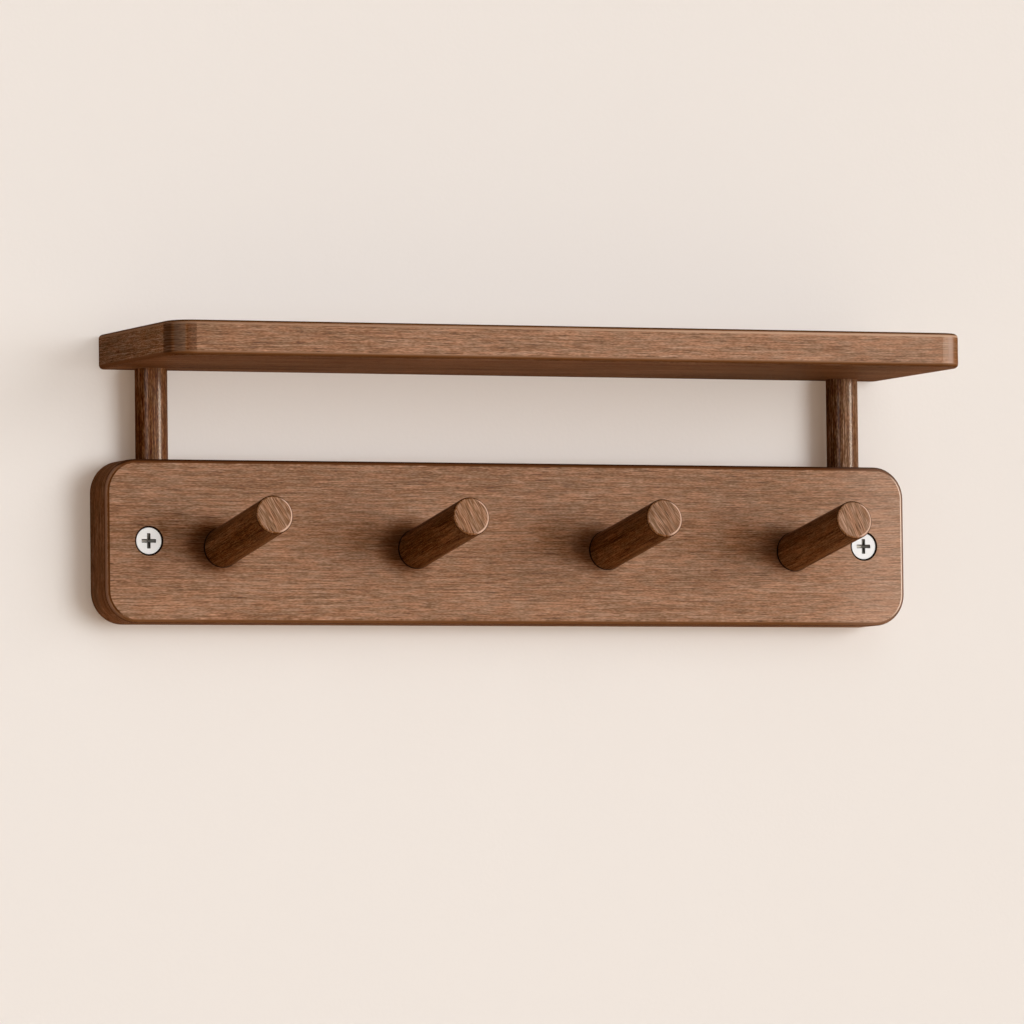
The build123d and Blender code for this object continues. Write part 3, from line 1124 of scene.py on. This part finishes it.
# %% The thread
THREAD_RADIUS = 2.95 * MM
THREAD_PITCH = 2.6 * MM
STEPS_PER_TURN = 48
ROOT_SUNK = 0.15 * MM             # the ridge starts inside the core, so that no gap shows
ROOT_HALF_WIDTH = 0.75 * MM
CREST_HALF_WIDTH = 0.07 * MM


def thread():
    """A ridge of four corners swept along a helix: angle and depth grow evenly. It grows from the core
    over the first eighteenth of its length, and shrinks again with the point."""
    length = SCREW_LENGTH - 0.8 * MM - THREAD_START
    turns = length / THREAD_PITCH
    steps = int(turns * STEPS_PER_TURN)
    along = np.linspace(0.0, 1.0, steps)
    angle = 2 * math.pi * turns * along
    depth = THREAD_START + length * along
    left = np.clip((SCREW_LENGTH - depth) / POINT_LENGTH, 0.0, 1.0)
    grown = np.clip(along * 18, 0.02, 1.0)
    root = (CORE_RADIUS - ROOT_SUNK) * left ** 0.8
    crest = np.maximum(root + 0.05 * MM, (CORE_RADIUS + (THREAD_RADIUS - CORE_RADIUS) * grown) * left)
    flank = ROOT_HALF_WIDTH * np.minimum(grown, 0.25 + 0.75 * left)
    corners = ((root, -flank), (crest, -CREST_HALF_WIDTH), (crest, CREST_HALF_WIDTH), (root, flank))
    points = np.stack([
        np.stack((radius * np.cos(angle), depth + offset, radius * np.sin(angle)), -1)
        for radius, offset in corners
    ], 1).reshape(-1, 3)
    last = (steps - 1) * 4
    ends = [(0, 1, 2, 3), (last + 3, last + 2, last + 1, last)]
    return points, np.vstack((ring_faces(steps, 4)[:, ::-1], ends))


print("thread ridge of", len(thread()[1]), "faces")

# %% [markdown]
# ## Bright zinc
#
# Zinc plating is a thin bright skin with a fine sparkle. Metal mirrors the room and nothing
# else, and this room is almost empty, so a fully metallic head would look black. The plating is
# drawn as a pale satin paint with a speckle, and it turns darker and more metallic down in the
# recess, where its colour is painted light: painted shade on the steep walls, a grey floor and a
# painted highlight on the slopes that face right. The right screw's plating is painted a little
# darker, as shade, since the left one lies partly in a peg's shadow.

# %% Bright zinc
ZINC_STOPS = ((0.0, 0.90, 0.94, 0.97), (0.5, 0.97, 0.99, 1.00), (1.0, 1.00, 1.00, 1.00))
# Painted shade makes the right screw's plating a little darker, since the left one lies partly in a peg's
# shadow.
ZINC_RIGHT_SHADED = (0.79, 0.80, 0.81)
# Down in the recess the colours are painted light: painted shade on the steep walls, a grey floor, and a
# painted highlight on the slopes that face right.
RECESS_SHADE = (0.012, 0.012, 0.010)
RECESS_LEVEL = (0.20, 0.195, 0.180)
RECESS_HIGHLIGHT = (0.72, 0.70, 0.64)


def down_in_recess(f, x, y, z):
    """1 down in the cross recess: near the middle of a screw's head, and between its face and the
    cone's end."""
    depth = f.minus(y, HEAD_TOP)
    across = f.math("ABSOLUTE", f.minus(f.math("ABSOLUTE", x), -screw_x))
    in_head = f.between(f.most(across, f.math("ABSOLUTE", z)), 4.2 * MM, 3.6 * MM)
    below_face = f.between(depth, 0.02 * MM, 0.35 * MM)
    return f.times(f.times(below_face, in_head), f.between(depth, 3.6 * MM, 3.2 * MM))


def bright_zinc():
    """Bright plating with a fine speckle, painted a little darker on the right screw as shade, and with
    painted shade and a painted highlight down in the recess."""
    f = Finish("bright_zinc")
    place = f.place()
    x, y, z = f.parted(place)
    sunk = down_in_recess(f, x, y, z)
    speckle = f.noise(place, 4200.0 * EVENLY, 2.0)
    mottle = f.noise(place, 900.0 * EVENLY, 2.0)
    colour = f.ramp(f.plus(f.plus(0.5, f.swing(speckle, 1.1)), f.swing(mottle, 0.6)), ZINC_STOPS)
    # Painted shade: the right screw's plating is darker than the left one's, which lies partly in a peg's
    # shadow.
    colour = f.blend(f.between(x, -0.1, 0.1, 1.0, 0.0), ZINC_RIGHT_SHADED, colour)
    # Painted shade on the recess's steep walls and a painted highlight on its slopes that face right.
    recess_shade_and_light = f.blend(f.between(f.facing((0, 1, 0)), 0.50, 0.85), RECESS_SHADE, RECESS_LEVEL)
    highlit_slope = f.between(f.dot(f.normal(), (0.9, -0.4, 0.0)), 0.60, 0.76)
    recess_shade_and_light = f.blend(highlit_slope, recess_shade_and_light, RECESS_HIGHLIGHT)
    return f.close(f.node("ShaderNodeBsdfPrincipled", {
        "Base Color": f.blend(f.times(sunk, 0.95), colour, recess_shade_and_light),
        "Metallic": f.between(sunk, 0.0, 1.0, 0.0, 0.6),
        "Roughness": f.between(speckle, 0.3, 0.7, 0.50, 0.38),
        "Normal": f.bump(speckle, 0.02 * MM, 0.3),
    }).outputs[0])


zinc = bright_zinc()
print(zinc.name, "has", len(zinc.node_tree.nodes), "nodes")

# %% Two screws
for side, name in ((screw_x, "left_wall_screw"), (-screw_x, "right_wall_screw")):
    points, faces = turned_screw()
    ridge, ridge_faces = thread()
    faces += (ridge_faces + len(points)).tolist()
    points = np.vstack((points, ridge)) + (side, HEAD_TOP, 0.0)
    mesh = bpy.data.meshes.new(name + "_zinc")
    mesh.from_pydata(points.tolist(), [], faces)
    mesh.polygons.foreach_set("use_smooth", [True] * len(mesh.polygons))
    mesh.validate()
    screw = bpy.data.objects.new(name + "_zinc", mesh)
    bpy.context.scene.collection.objects.link(screw)
    wear(screw, zinc)
    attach(screw, "root")
    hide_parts(name)
    shape = bmesh.new()
    shape.from_mesh(mesh)
    print(name, len(mesh.polygons), "faces,", round(shape.calc_volume(signed=True) / MM**3, 1), "cubic mm")
    shape.free()

# %% [markdown]
# ## Sizes
#
# The dressed part has to keep the frame's size, so both boxes' sizes are printed.

# %% Sizes and the end
made_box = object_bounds()
sizes = {"cad": [list(corner) for corner in cad_box], "visual": [list(corner) for corner in made_box]}
for label, (low, high) in sizes.items():
    print(label, [round((b - a) / MM, 2) for a, b in zip(low, high)], "mm")
